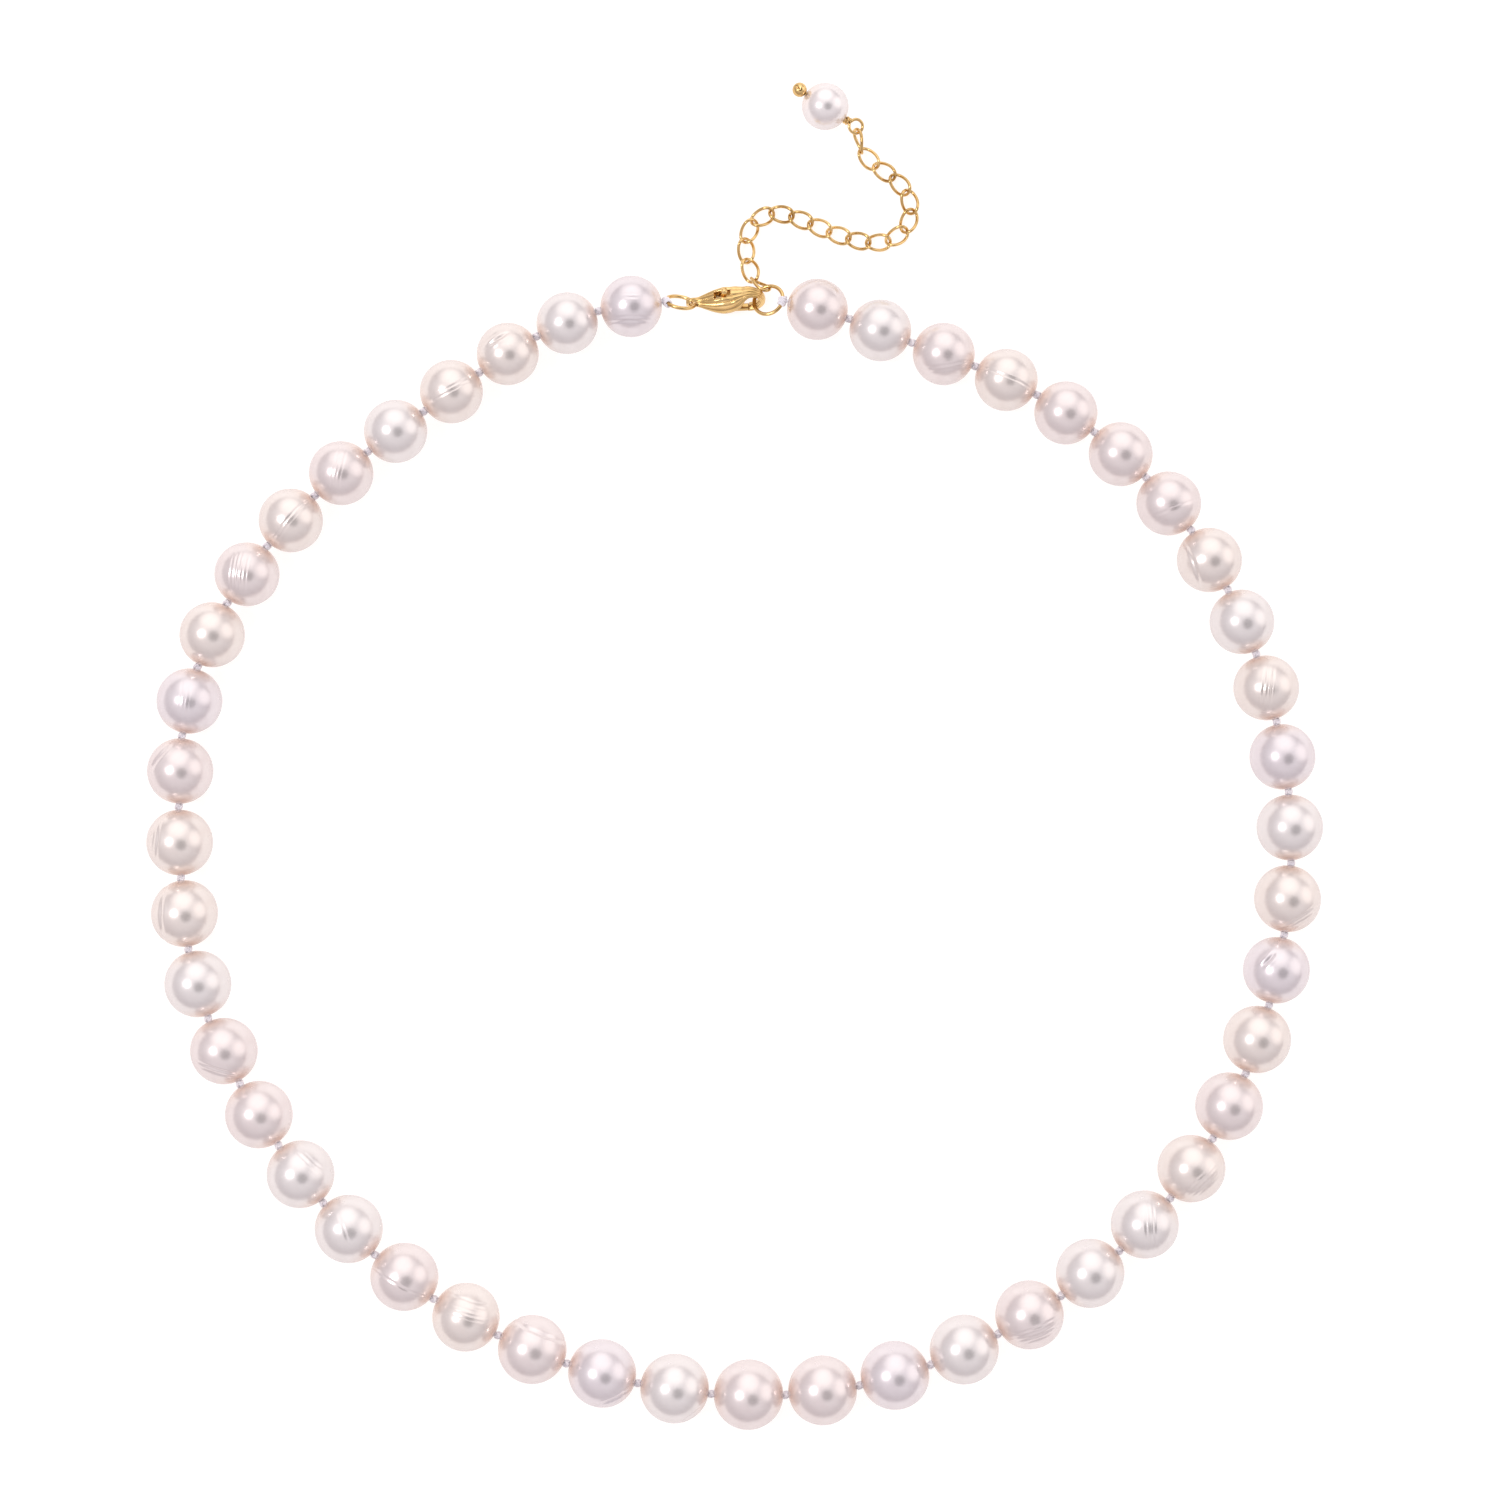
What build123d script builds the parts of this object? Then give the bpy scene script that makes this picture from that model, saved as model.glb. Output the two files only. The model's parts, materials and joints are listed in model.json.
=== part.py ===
"""Knotted pearl necklace with a lever clasp, an extender chain and a drop pearl.

The necklace lies on a flat surface, closed in a loop. X runs from the wearer's clasp lever
side to the drop side, Y from the front of the loop to the clasp, and Z is up. The origin is
the middle of the whole necklace, on the surface. All sizes are in millimetres and degrees.
"""

import os
from math import cos, hypot, radians, sin, sqrt

from build123d import *

os.makedirs("parts", exist_ok=True)

# Pearls
pearl_count = 47
front_pearl_diameter = 9.0
end_pearl_diameter = 8.0
graduation_power = 1.5
drill_diameter = 0.8

# Silk
knot_gap = 0.7
thread_diameter = 0.5
end_loop_thread_diameter = 0.36
silk_clearance = 0.06

# Rings at the two ends of the strand
tail_ring_diameter = 4.3
end_ring_diameter = 4.5
ring_wire = 0.5
tail_ring_tilt = 60
end_ring_tilt = 20

# Clasp, measured from the centre of its tail eye
clasp_roll = 62
clasp_swing = 2.5
clasp_slack = 0.004
clasp_eye_diameter = 2.0
clasp_eye_hole = 1.3
clasp_eye_thickness = 0.7
clasp_casing_thickness = 2.6
clasp_casing_width = 4.1
clasp_casing_end = 5.8
clasp_slot_start = 2.0
clasp_slot_end = 4.9
clasp_edge_chamfer = 0.2
clasp_neck_half_width = 0.5
clasp_back_bulge = 1.5
clasp_gate_bulge = 1.75
hook_centre = 7.35
hook_radius = 1.6
hook_height = 0.9
hook_thickness = 1.3
hook_play = 0.24
lever_pivot = (3.9, 0.7)
lever_thickness = 0.9
lever_hub_diameter = 1.6
lever_reach = 3.4
lever_arm_height = 0.7
lever_tab_width = 0.8
lever_tab_proud = 0.45
lever_tab_lean = 0.2
rivet_diameter = 0.7
rivet_running_clearance = 0.04
spring_leaf = 0.14
spring_top = -0.2
spring_foot = -1.0
spring_tip = -0.5
moving_clearance = 0.06

# Extender chain
link_count = 18
link_length = 3.56
link_width = 2.4
link_wire = 0.38
link_lean = 35
first_link_lean = 65
first_link_lift = 0.4
last_link_lean = 75
last_link_lift = 0.17
link_clearance = 0.12
extender_start = 106
extender_headings = [
    140, 108, 96, 66, 28, -10, -22, -24, -19,
    -13, 3, 34, 70, 106, 133, 148, 134, 104,
]
links_per_group = [4, 4, 5, 5]

# Drop
drop_pearl_diameter = 6.1
drop_heading = 149.5
pin_wire = 0.4
pin_eye_diameter = 2.2
pin_wrap_turns = 2
pin_wrap_pitch = 0.36
pin_wrap_bite = 0.02
pin_ball_diameter = 1.9
pin_clearance = 0.05

# The line that the strand and the clasp lie along, from the first pearl's outer pole, round
# the front and back to the clasp.
neck_route = [
    (-9.8, 59.6), (-22.4, 57.0), (-38.0, 47.4), (-52.5, 36.7), (-64.2, 24.0),
    (-71.6, 8.0), (-72.8, -10.4), (-70.8, -28.7), (-63.2, -45.4), (-51.5, -60.8),
    (-36.6, -72.4), (-18.8, -80.1), (0.8, -83.2), (20.5, -80.8), (37.6, -73.2),
    (52.8, -61.6), (64.2, -46.0), (70.6, -27.7), (72.4, -9.1), (69.4, 8.9),
    (62.0, 25.8), (51.0, 39.2), (36.0, 49.2), (19.6, 55.6), (7.0, 59.7),
]


# Layout of the strand ------------------------------------------------------------------

up = Vector(0, 0, 1)


def unit(vector):
    """The same direction with a length of one."""
    return vector * (1 / vector.length)


def flat(vector):
    """The horizontal part of a direction, with a length of one."""
    return unit(Vector(vector.X, vector.Y, 0))


def square_to(vector, direction):
    """What is left of a vector square to a direction, with a length of one."""
    return unit(vector - direction * vector.dot(direction))


def pearl_size(number):
    """Diameter of a strand pearl: largest at the front, smallest beside the clasp."""
    front = (pearl_count + 1) / 2
    share = abs(number - front) / (front - 1)
    return front_pearl_diameter - (front_pearl_diameter - end_pearl_diameter) * share**graduation_power


pearl_sizes = [pearl_size(number) for number in range(1, pearl_count + 1)]
strand_length = sum(pearl_sizes) + knot_gap * (pearl_count - 1)

# The silk runs round a ring's wire in a small loop that starts at the last pearl's pole.
ring_radius = ring_wire / 2
end_loop_radius = ring_radius + silk_clearance + end_loop_thread_diameter / 2
end_loop_reach = end_loop_radius + end_loop_thread_diameter / 2

tail_ring_radius = (tail_ring_diameter - ring_wire) / 2
end_ring_radius = (end_ring_diameter - ring_wire) / 2
end_pearl_height = pearl_sizes[0] / 2

# The clasp lies on the surface on its rolled edge.
clasp_height = (
    clasp_casing_width / 2 * sin(radians(clasp_roll))
    + clasp_casing_thickness / 2 * cos(radians(clasp_roll))
)
clasp_drop = end_pearl_height - clasp_height
hook_inside = hook_centre + hook_radius - hook_height / 2
end_ring_station = hook_inside - ring_radius - hook_play
tail_ring_run = sqrt((2 * tail_ring_radius) ** 2 - clasp_drop**2)
end_ring_run = sqrt((2 * end_ring_radius) ** 2 - clasp_drop**2)
clasp_span = 2 * end_loop_reach + tail_ring_run + end_ring_station + end_ring_run - clasp_slack

with BuildLine() as neck_line:
    Spline(*neck_route, periodic=True)
neck_edge = neck_line.edges()[0]
neck_scale = (strand_length + clasp_span) / neck_edge.length
print("neck line scale", round(neck_scale, 4), "strand", round(strand_length, 1), "clasp span", clasp_span)


def on_neck_line(distance):
    """Point of the neck line this far from the first pearl's outer pole."""
    along = distance / neck_scale
    return neck_edge.position_at(along, position_mode=PositionMode.LENGTH) * neck_scale


# Each pearl sits between its two poles, and rests on the surface.
pearl_centres = []
pearl_axes = []
travelled = 0
for size in pearl_sizes:
    near_pole = on_neck_line(travelled)
    far_pole = on_neck_line(travelled + size)
    middle = (near_pole + far_pole) * 0.5
    pearl_centres.append(Vector(middle.X, middle.Y, size / 2))
    pearl_axes.append(flat(far_pole - near_pole))
    travelled += size + knot_gap

# The silk loops lie on the line between the two end pearls. The clasp stands a little off that
# line, at the place where both rings just reach it.
first_pole = pearl_centres[0] - pearl_axes[0] * (pearl_sizes[0] / 2)
last_pole = pearl_centres[-1] + pearl_axes[-1] * (pearl_sizes[-1] / 2)
pole_line = flat(last_pole - first_pole)
clasp_along = pole_line.rotate(Axis.Z, clasp_swing)
clasp_side = up.cross(clasp_along)

tail_loop_centre = first_pole + pole_line * end_loop_reach
end_loop_centre = last_pole - pole_line * end_loop_reach
rings_apart = end_loop_centre - clasp_along * end_ring_station - tail_loop_centre
rings_line = unit(rings_apart)
reach_along = (rings_apart.length**2 + tail_ring_run**2 - end_ring_run**2) / (2 * rings_apart.length)
reach_across = sqrt(max(tail_ring_run**2 - reach_along**2, 0))
clasp_origin = tail_loop_centre + rings_line * reach_along + up.cross(rings_line) * reach_across
clasp_origin -= up * clasp_drop
print("clasp stands off the line by", round(reach_across, 2), "and the rings reach", rings_apart.length)

hook_wire_centre = clasp_origin + clasp_along * end_ring_station
tail_ring_centre = (tail_loop_centre + clasp_origin) * 0.5
end_ring_centre = (hook_wire_centre + end_loop_centre) * 0.5
tail_ring_along = unit(clasp_origin - tail_loop_centre)
end_ring_along = unit(end_loop_centre - hook_wire_centre)
tail_ring_across = square_to(
    clasp_side * cos(radians(tail_ring_tilt)) - up * sin(radians(tail_ring_tilt)), tail_ring_along
)
end_ring_across = square_to(
    clasp_side * cos(radians(end_ring_tilt)) - up * sin(radians(end_ring_tilt)), end_ring_along
)

# Layout of the extender ----------------------------------------------------------------

link_radius = link_wire / 2
link_reach = (link_length - link_wire) / 2
link_half_width = (link_width - link_wire) / 2
link_pitch = link_length - 2 * link_wire - link_clearance
link_overlap = link_reach - link_pitch / 2
link_rest_height = link_half_width * sin(radians(link_lean)) + link_radius
last_link_height = link_half_width * sin(radians(last_link_lean)) + link_radius + last_link_lift

# The first link's near end bears on the inside of the end ring. Junctions are the points where
# one link bears on the next.
first_angle = radians(extender_start)
first_heading = radians(extender_headings[0])
ring_side = end_ring_along * cos(first_angle) + end_ring_across * sin(first_angle)
ring_inside = end_ring_radius - ring_radius - link_radius - link_clearance
first_end = end_ring_centre + ring_side * ring_inside
first_fall = (first_end.Z - link_rest_height - first_link_lift) / (link_pitch + link_overlap)
first_level = sqrt(1 - first_fall**2)
first_direction = Vector(first_level * cos(first_heading), first_level * sin(first_heading), -first_fall)
junctions = [first_end + first_direction * link_overlap]

link_directions = []
for number, heading in enumerate(extender_headings, start=1):
    here = junctions[-1]
    if number == link_count:
        next_height = 2 * last_link_height - here.Z
    elif number == link_count - 1:
        next_height = (last_link_height + link_rest_height) / 2
    elif number == 1:
        next_height = link_rest_height + first_link_lift
    else:
        next_height = link_rest_height
    rise = next_height - here.Z
    level = sqrt(link_pitch**2 - rise**2)
    turn = radians(heading)
    step = Vector(level * cos(turn), level * sin(turn), rise)
    link_directions.append(unit(step))
    junctions.append(here + step)

# Layout of the drop --------------------------------------------------------------------

pin_radius = pin_wire / 2
pin_eye_radius = (pin_eye_diameter - pin_wire) / 2
pin_wrap_radius = pin_wire - pin_wrap_bite
pin_wrap_start = pin_eye_radius + 0.75 * pin_wire
drop_pearl_station = (
    pin_wrap_start + pin_wrap_pitch * (pin_wrap_turns - 1) + pin_radius + pin_clearance
    + drop_pearl_diameter / 2
)
pin_ball_station = drop_pearl_station + (drop_pearl_diameter + pin_ball_diameter) / 2 + pin_clearance

eye_inside = link_radius + pin_radius + link_clearance - link_overlap
eye_centre = junctions[-1] + link_directions[-1] * (pin_eye_radius - eye_inside)
pin_rise = drop_pearl_diameter / 2 - eye_centre.Z
pin_level = sqrt(drop_pearl_station**2 - pin_rise**2)
pin_turn = radians(drop_heading)
pin_along = unit(Vector(pin_level * cos(pin_turn), pin_level * sin(pin_turn), pin_rise))
pin_side = up.cross(flat(pin_along))
drop_pearl_centre = eye_centre + pin_along * drop_pearl_station
pin_ball_centre = eye_centre + pin_along * pin_ball_station

# Place of the origin -------------------------------------------------------------------
# The finished layout is moved so that the middle of the whole necklace is the origin.

reaches = [(centre, size / 2) for centre, size in zip(pearl_centres, pearl_sizes)]
reaches += [(drop_pearl_centre, drop_pearl_diameter / 2), (pin_ball_centre, pin_ball_diameter / 2)]
middle_x = (max(c.X + r for c, r in reaches) + min(c.X - r for c, r in reaches)) / 2
middle_y = (max(c.Y + r for c, r in reaches) + min(c.Y - r for c, r in reaches)) / 2
shift = Vector(-middle_x, -middle_y, 0)

pearl_centres = [centre + shift for centre in pearl_centres]
junctions = [point + shift for point in junctions]
first_pole += shift
last_pole += shift
tail_loop_centre += shift
end_loop_centre += shift
clasp_origin += shift
hook_wire_centre += shift
tail_ring_centre += shift
end_ring_centre += shift
eye_centre += shift
drop_pearl_centre += shift
pin_ball_centre += shift

# A knot fills the gap between two pearls and stays clear of the mouths of their drillings.
knots = []
for near, far, near_size, far_size, near_axis, far_axis in zip(
    pearl_centres, pearl_centres[1:], pearl_sizes, pearl_sizes[1:], pearl_axes, pearl_axes[1:]
):
    near_end = near + near_axis * (near_size / 2)
    far_end = far - far_axis * (far_size / 2)
    knots.append((near_end + far_end) * 0.5)
knot_radius = hypot(knot_gap / 2, drill_diameter / 2) - silk_clearance


# Shapes that repeat --------------------------------------------------------------------


def wire_ring(centre, normal, radius, wire):
    """A closed round ring of wire."""
    along = square_to(Vector(0.3, 0.9, 0.2), normal)
    with BuildPart() as ring:
        with BuildSketch(Plane(centre, x_dir=along, z_dir=normal.cross(along))):
            with Locations((radius, 0)):
                Circle(wire / 2)
        revolve(axis=Axis(centre, normal))
    return ring.part


def drilled_pearl(centre, axis, diameter):
    """A round pearl with a straight hole drilled through its middle."""
    with BuildPart() as pearl:
        with Locations(Plane(centre, x_dir=up, z_dir=axis)):
            Sphere(diameter / 2)
            Cylinder(drill_diameter / 2, diameter * 1.1, mode=Mode.SUBTRACT)
    return pearl.part


def round_bar(start, end, diameter):
    """A straight round bar between two points."""
    along = end - start
    with BuildPart() as bar:
        with BuildSketch(Plane(start, z_dir=unit(along))):
            Circle(diameter / 2)
        extrude(amount=along.length)
    return bar.part


# Pearls --------------------------------------------------------------------------------

for number, (centre, axis, size) in enumerate(zip(pearl_centres, pearl_axes, pearl_sizes), start=1):
    name = f"pearl_{number:02d}"
    with BuildPart() as pearl:
        add(drilled_pearl(centre, axis, size))
    pearl.part.label = name
    export_step(pearl.part, f"parts/{name}.step")

with BuildPart() as drop_pearl:
    add(drilled_pearl(drop_pearl_centre, pin_along, drop_pearl_diameter))
drop_pearl.part.label = "drop_pearl"
export_step(drop_pearl.part, "parts/drop_pearl.step")


# Silk ----------------------------------------------------------------------------------
# One thread runs through every pearl, with a knot in each gap and a loop round each ring.

tail_loop_near = tail_loop_centre - clasp_along * end_loop_radius
end_loop_near = end_loop_centre + clasp_along * end_loop_radius

tail_loop = wire_ring(tail_loop_centre, tail_ring_across, end_loop_radius, end_loop_thread_diameter)
end_loop = wire_ring(end_loop_centre, end_ring_across, end_loop_radius, end_loop_thread_diameter)
tail_stop = knots[0] + unit(tail_loop_near - knots[0]) * (knot_radius / 2)
drop_stop = knots[-1] + unit(end_loop_near - knots[-1]) * (knot_radius / 2)
with BuildPart() as tail_end:
    add(round_bar(tail_loop_near, tail_stop, thread_diameter))
    add(tail_loop)
with BuildPart() as drop_end:
    add(round_bar(drop_stop, end_loop_near, thread_diameter))
    add(end_loop)
stretches = [tail_end.part]
for start, end in zip(knots, knots[1:]):
    into_knot = unit(end - start) * (knot_radius / 2)
    stretches.append(round_bar(start + into_knot, end - into_knot, thread_diameter))
stretches.append(drop_end.part)

with BuildPart() as silk_cord:
    for knot, axis in zip(knots, pearl_axes):
        with Locations(Plane(knot, z_dir=axis)):
            Sphere(knot_radius)
    add(stretches)
silk_cord.part.label = "silk_cord"
export_step(silk_cord.part, "parts/silk_cord.step")


# Rings ---------------------------------------------------------------------------------

with BuildPart() as clasp_ring:
    add(wire_ring(tail_ring_centre, tail_ring_along.cross(tail_ring_across), tail_ring_radius, ring_wire))
clasp_ring.part.label = "clasp_ring"
export_step(clasp_ring.part, "parts/clasp_ring.step")

with BuildPart() as end_ring:
    add(wire_ring(end_ring_centre, end_ring_along.cross(end_ring_across), end_ring_radius, ring_wire))
end_ring.part.label = "end_ring"
export_step(end_ring.part, "parts/end_ring.step")


# Clasp ---------------------------------------------------------------------------------
# In the clasp's own plane, x runs from the tail eye to the nose and y towards the gate.

clasp_face = clasp_side * sin(radians(clasp_roll)) - up * cos(radians(clasp_roll))
clasp_plane = Plane(clasp_origin, x_dir=clasp_along, z_dir=clasp_face)
half_width = clasp_casing_width / 2
slot_width = lever_thickness + 2 * moving_clearance
eye_radius = clasp_eye_diameter / 2
pivot_x, pivot_y = lever_pivot
neck_start = eye_radius - clasp_edge_chamfer * 2
hook_inner_edge = hook_height / 2 - hook_radius
mouth_depth = half_width / 5
hook_start = Vector(clasp_slot_end, -hook_radius, 0)

with BuildPart() as clasp_body:
    with BuildSketch(clasp_plane):
        with BuildLine():
            back = Spline(
                (neck_start, -clasp_neck_half_width),
                (clasp_slot_start, -clasp_back_bulge),
                (clasp_casing_end, -half_width),
                tangents=[(1, -0.3), (1, 0)],
            )
            tip = Line(back @ 1, (clasp_casing_end, hook_inner_edge))
            inside = Spline(
                tip @ 1,
                (clasp_slot_end, -mouth_depth),
                (clasp_slot_end, clasp_gate_bulge),
                tangents=[(-1, 0.3), (0.2, 1)],
            )
            gate_side = Spline(
                inside @ 1,
                ((clasp_slot_start + pivot_x) / 2, clasp_gate_bulge),
                (neck_start, clasp_neck_half_width),
                tangents=[(-1, 0.3), (-1, -0.3)],
            )
            Line(gate_side @ 1, back @ 0)
        make_face()
    extrude(amount=clasp_casing_thickness / 2, both=True)
    casing_faces = clasp_body.faces().filter_by(Axis(clasp_origin, clasp_face))
    chamfer(casing_faces.edges(), clasp_edge_chamfer)
    with BuildSketch(clasp_plane):
        Circle(eye_radius)
    extrude(amount=clasp_eye_thickness / 2, both=True)
    with BuildSketch(clasp_plane):
        with Locations(((clasp_slot_start + clasp_casing_end) / 2, 0)):
            Rectangle(clasp_casing_end - clasp_slot_start, 2 * clasp_casing_width)
    extrude(amount=slot_width / 2, both=True, mode=Mode.SUBTRACT)
    with BuildSketch(clasp_plane):
        Circle(clasp_eye_hole / 2)
    extrude(amount=clasp_casing_thickness, both=True, mode=Mode.SUBTRACT)
    with BuildSketch(clasp_plane):
        with Locations(lever_pivot):
            Circle(rivet_diameter / 2)
    extrude(amount=clasp_casing_thickness, both=True, mode=Mode.SUBTRACT)
    with BuildLine(clasp_plane) as hook_line:
        shank = Line((clasp_slot_end, -hook_radius), (hook_centre, -hook_radius))
        bow = ThreePointArc(shank @ 1, (hook_centre + hook_radius, 0), (hook_centre, hook_radius))
        Line(bow @ 1, (hook_centre - hook_height / 2, hook_radius))
    with BuildSketch(Plane(clasp_plane.from_local_coords(hook_start), x_dir=clasp_face, z_dir=clasp_along)):
        Ellipse(hook_thickness / 2, hook_height / 2)
    sweep(path=hook_line.wires()[0])
    with BuildSketch(clasp_plane):
        with Locations(lever_pivot):
            Circle(lever_reach + moving_clearance)
        with Locations((clasp_casing_end + lever_reach, pivot_y + lever_reach)):
            Rectangle(2 * lever_reach, 2 * lever_reach, mode=Mode.INTERSECT)
    extrude(amount=hook_thickness, both=True, mode=Mode.SUBTRACT)
clasp_body.part.label = "clasp_body"
export_step(clasp_body.part, "parts/clasp_body.step")

gate_outside = half_width - moving_clearance
gate_inside = gate_outside - lever_arm_height
arm_root = lever_hub_diameter / 2 - moving_clearance / 2
tab_tip = (pivot_x + lever_tab_lean, -half_width - lever_tab_proud + lever_tab_width / 2)

with BuildPart() as clasp_lever:
    with BuildSketch(clasp_plane):
        with Locations(lever_pivot):
            Circle(lever_hub_diameter / 2)
        with BuildLine():
            Polyline(
                (pivot_x, pivot_y + arm_root),
                (clasp_slot_end, gate_outside),
                (pivot_x + lever_reach, gate_outside),
                (pivot_x + lever_reach, gate_inside),
                (clasp_slot_end + lever_arm_height / 2, gate_inside),
                (pivot_x, pivot_y - arm_root),
                close=True,
            )
        make_face()
        with BuildLine():
            Polyline(
                (pivot_x - lever_tab_width / 2, pivot_y),
                (tab_tip[0] - lever_tab_width / 2, tab_tip[1]),
                (tab_tip[0] + lever_tab_width / 2, tab_tip[1]),
                (pivot_x + lever_tab_width / 2, pivot_y),
                close=True,
            )
        make_face()
        with Locations(tab_tip):
            Circle(lever_tab_width / 2)
        with Locations(lever_pivot):
            Circle(lever_reach, mode=Mode.INTERSECT)
            Circle(rivet_diameter / 2 + rivet_running_clearance, mode=Mode.SUBTRACT)
    extrude(amount=lever_thickness / 2, both=True)
clasp_lever.part.label = "clasp_lever"
export_step(clasp_lever.part, "parts/clasp_lever.step")

with BuildPart() as clasp_rivet:
    with BuildSketch(clasp_plane):
        with Locations(lever_pivot):
            Circle(rivet_diameter / 2)
    extrude(amount=clasp_casing_thickness / 2, both=True)
clasp_rivet.part.label = "clasp_rivet"
export_step(clasp_rivet.part, "parts/clasp_rivet.step")

# The spring is one bent leaf, between the end of the slot and the lever's thumb tab.
spring_seat = clasp_slot_start + moving_clearance
spring_touch = pivot_x - lever_tab_width / 2 - moving_clearance
with BuildPart() as clasp_spring:
    with BuildSketch(clasp_plane):
        with BuildLine():
            Polyline(
                (spring_seat, spring_top),
                (spring_seat, spring_foot),
                (spring_touch, spring_tip),
                (spring_touch, spring_tip + spring_leaf),
                (spring_seat + spring_leaf, spring_foot + 1.5 * spring_leaf),
                (spring_seat + spring_leaf, spring_top),
                close=True,
            )
        make_face()
    extrude(amount=lever_thickness / 2 - moving_clearance, both=True)
clasp_spring.part.label = "clasp_spring"
export_step(clasp_spring.part, "parts/clasp_spring.step")


# Extender ------------------------------------------------------------------------------
# Each link is a planar loop of wire that leans the other way from the link before it.

links = []
for number, direction in enumerate(link_directions, start=1):
    lean = link_lean
    if number == 1:
        lean = first_link_lean
    if number == link_count:
        lean = last_link_lean
    if number % 2 == 0:
        lean = -lean
    level_side = up.cross(flat(direction))
    link_side = level_side * cos(radians(lean)) + direction.cross(level_side) * sin(radians(lean))
    centre = (junctions[number - 1] + junctions[number]) * 0.5
    link_plane = Plane(centre, x_dir=direction, z_dir=direction.cross(link_side))
    straight = link_reach - link_half_width
    with BuildPart() as link:
        with BuildLine(link_plane) as outline:
            top = Line((-straight, link_half_width), (straight, link_half_width))
            right = ThreePointArc(top @ 1, (link_reach, 0), (straight, -link_half_width))
            bottom = Line(right @ 1, (-straight, -link_half_width))
            ThreePointArc(bottom @ 1, (-link_reach, 0), top @ 0)
        path_start = link_plane.from_local_coords((-straight, link_half_width, 0))
        with BuildSketch(Plane(path_start, z_dir=direction)):
            Circle(link_radius)
        sweep(path=outline.wires()[0])
    links.append(link.part)

first = 0
for group, count in enumerate(links_per_group, start=1):
    name = f"extender_links_{group}"
    chain = Compound(label=name, children=links[first : first + count])
    export_step(chain, f"parts/{name}.step")
    first += count


# Head pin ------------------------------------------------------------------------------

pin_eye_normal = pin_along.cross(pin_side)
with BuildPart() as headpin:
    add(wire_ring(eye_centre, pin_eye_normal, pin_eye_radius, pin_wire))
    add(round_bar(eye_centre + pin_along * pin_eye_radius, pin_ball_centre, pin_wire))
    for turn in range(pin_wrap_turns):
        wrap_centre = eye_centre + pin_along * (pin_wrap_start + turn * pin_wrap_pitch)
        add(wire_ring(wrap_centre, pin_along, pin_wrap_radius, pin_wire))
    with Locations(pin_ball_centre):
        Sphere(pin_ball_diameter / 2)
headpin.part.label = "headpin"
export_step(headpin.part, "parts/headpin.step")

print("eye centre", eye_centre, "ball", pin_ball_centre, "end junction", junctions[-1])
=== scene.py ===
import json
import math

import bmesh
import bpy
import numpy as np
from mathutils import Matrix, Vector


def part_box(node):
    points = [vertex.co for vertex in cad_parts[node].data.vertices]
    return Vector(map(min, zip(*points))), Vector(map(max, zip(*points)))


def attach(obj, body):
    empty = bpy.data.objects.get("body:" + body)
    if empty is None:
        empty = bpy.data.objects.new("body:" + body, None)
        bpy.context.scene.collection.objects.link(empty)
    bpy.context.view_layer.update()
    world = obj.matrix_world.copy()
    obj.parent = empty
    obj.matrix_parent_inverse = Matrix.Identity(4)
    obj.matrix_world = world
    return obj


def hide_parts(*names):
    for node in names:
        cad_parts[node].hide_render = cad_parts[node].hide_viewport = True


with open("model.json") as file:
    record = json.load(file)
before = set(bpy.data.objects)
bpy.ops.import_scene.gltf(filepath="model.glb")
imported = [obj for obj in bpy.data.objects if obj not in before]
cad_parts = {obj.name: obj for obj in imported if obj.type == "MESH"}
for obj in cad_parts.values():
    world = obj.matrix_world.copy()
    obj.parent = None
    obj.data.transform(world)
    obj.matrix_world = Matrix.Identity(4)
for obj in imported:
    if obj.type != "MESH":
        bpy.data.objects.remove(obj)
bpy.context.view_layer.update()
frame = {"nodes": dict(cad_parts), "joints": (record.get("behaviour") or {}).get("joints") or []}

# Pearls --------------------------------------------------------------------------------
# Freshwater pearls, near-round, drilled through the middle and matched for size. Nacre grows
# in thin layers, so the skin is soft pink-ivory, and some pearls keep shallow growth wrinkles.
# Round each drilling a warm peach is painted into the colour: a painted glow that stands for
# light bounced between neighbouring pearls and through the nacre. The mouth of each drilling
# is broken with a reamer.

mm = 0.001
up = Vector((0, 0, 1))
drilling = 0.4 * mm
mouth_chamfer = 0.12 * mm
# reach, falloff and strength of the painted glow round each drilling, which stands for light bounced
# between pearls
drilling_glow_reach = 0.42
drilling_glow_falloff = 1.6
drilling_glow_strength = 0.7
strand_unevenness = 0.014
drop_unevenness = 0.006
joints = {joint["name"]: joint for joint in frame["joints"]}
pearl_count = sum(name.startswith("pearl_") for name in frame["nodes"])
front_pearl = (pearl_count + 1) // 2
chance = np.random.default_rng(47)


def knot_point(number):
    """Middle of the knot between this pearl and the next one."""
    found = [joints[name] for name in joints if name.startswith(f"knot_{number:02d}_")]
    return Vector(found[0]["pos_m"])


def pearl_place(number):
    """Centre, radius and drilling direction of a strand pearl."""
    low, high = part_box(f"pearl_{number:02d}")
    centre = (low + high) / 2
    start = knot_point(number - 1) if number > 1 else centre
    end = knot_point(number) if number < pearl_count else centre
    return centre, (high.z - low.z) / 2, (end - start).normalized()


def body_of(number):
    """Name of the body that a strand pearl belongs to."""
    return "front_pearl" if number == front_pearl else f"pearl_{number:02d}"


def mesh_piece(name, points, faces, material):
    """A smooth-shaded mesh object with one material, in the frame's own place."""
    mesh = bpy.data.meshes.new(name)
    mesh.from_pydata([tuple(point) for point in points], [], faces)
    mesh.polygons.foreach_set("use_smooth", [True] * len(mesh.polygons))
    mesh.materials.append(material)
    piece = bpy.data.objects.new(name, mesh)
    bpy.context.scene.collection.objects.link(piece)
    return piece


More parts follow.
